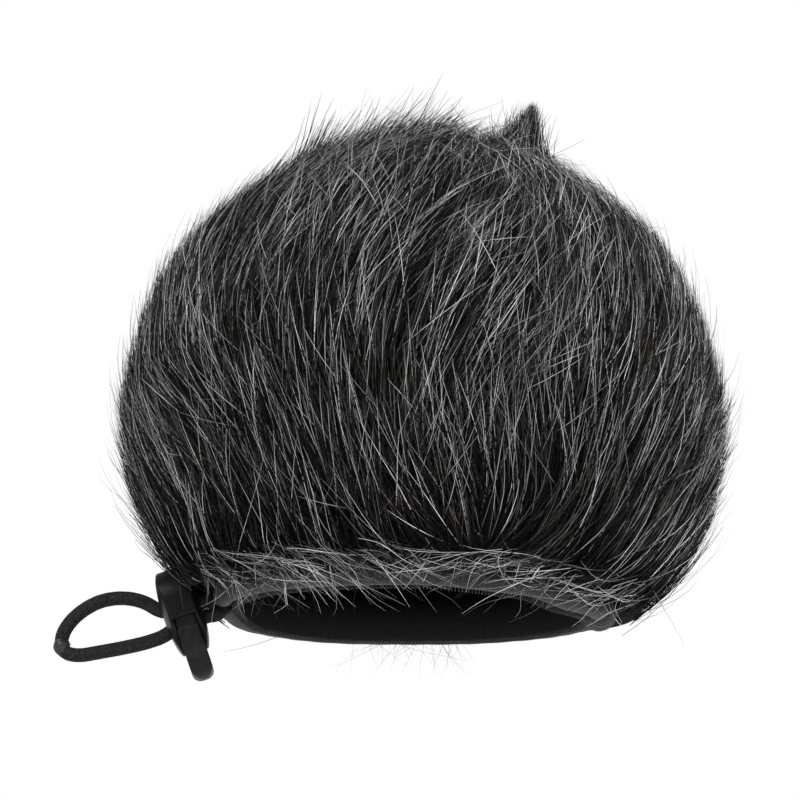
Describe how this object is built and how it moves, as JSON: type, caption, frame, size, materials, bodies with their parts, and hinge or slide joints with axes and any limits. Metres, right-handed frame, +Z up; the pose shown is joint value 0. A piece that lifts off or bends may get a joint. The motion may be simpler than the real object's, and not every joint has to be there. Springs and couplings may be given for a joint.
{
  "type": "furry microphone windscreen",
  "caption": "Domed long-pile fur windscreen with foam liner, open ribbed cuff, and an elastic drawcord held by a spring cord lock.",
  "frame": {"origin": "centre of the microphone opening, at the cuff's lower edge", "axes": "+Z up along the opening's axis into the dome; -X towards the cord lock; -Y is the front"},
  "size_m": [0.1314, 0.12, 0.116],
  "materials": {
    "fur": "long straight acrylic pile, charcoal undercoat with silver-grey guard hairs",
    "fur_tuft": "the same pile, drawn to a point at the crown",
    "thread": "black polyester sewing thread",
    "foam": "open-cell polyurethane foam",
    "lining": "fine knitted mesh",
    "cuff_rib": "ribbed elastic knit",
    "cuff_edge": "rolled edge of the ribbed knit, slight sheen",
    "elastic_cord": "finely braided elastic cord",
    "splice": "clear glue over the cord's joint",
    "lock_plastic": "satin moulded plastic",
    "plunger_plastic": "satin moulded plastic",
    "spring_steel": "plain steel wire"
  },
  "bodies": {
    "windscreen": {"fur_front": "fur", "fur_right": "fur", "fur_back": "fur", "fur_left": "fur", "crown_gather": "fur_tuft", "seam_stitching": "thread", "foam_liner": "foam", "lining_mesh": "lining", "cuff_band": "cuff_rib", "cuff_stitches": "thread", "drawcord_channel": "cuff_edge", "hem_stitches": "thread", "channel_end_wrap": "cuff_edge", "cord_exit_tab": "cuff_edge", "drawcord_ring": "elastic_cord", "drawcord_leads": "elastic_cord", "drawcord_loop": "elastic_cord", "cord_splice": "splice"},
    "lock": {"lock_body": "lock_plastic", "lock_spring": "spring_steel"},
    "plunger": {"lock_plunger": "plunger_plastic"}
  },
  "joints": [
    {"name": "lock_slide", "type": "slide", "parent": "windscreen", "child": "lock", "axis": [-0.9455, 0, -0.3256], "range_m": [0, 0.006], "deforming": ["drawcord_loop"]},
    {"name": "plunger_press", "type": "slide", "parent": "lock", "child": "plunger", "axis": [-0.3256, 0, 0.9455], "range_m": [0, 0.002], "stiffness_N_per_m": 400, "springref_m": -0.001, "deforming": ["lock_spring"]}
  ]
}
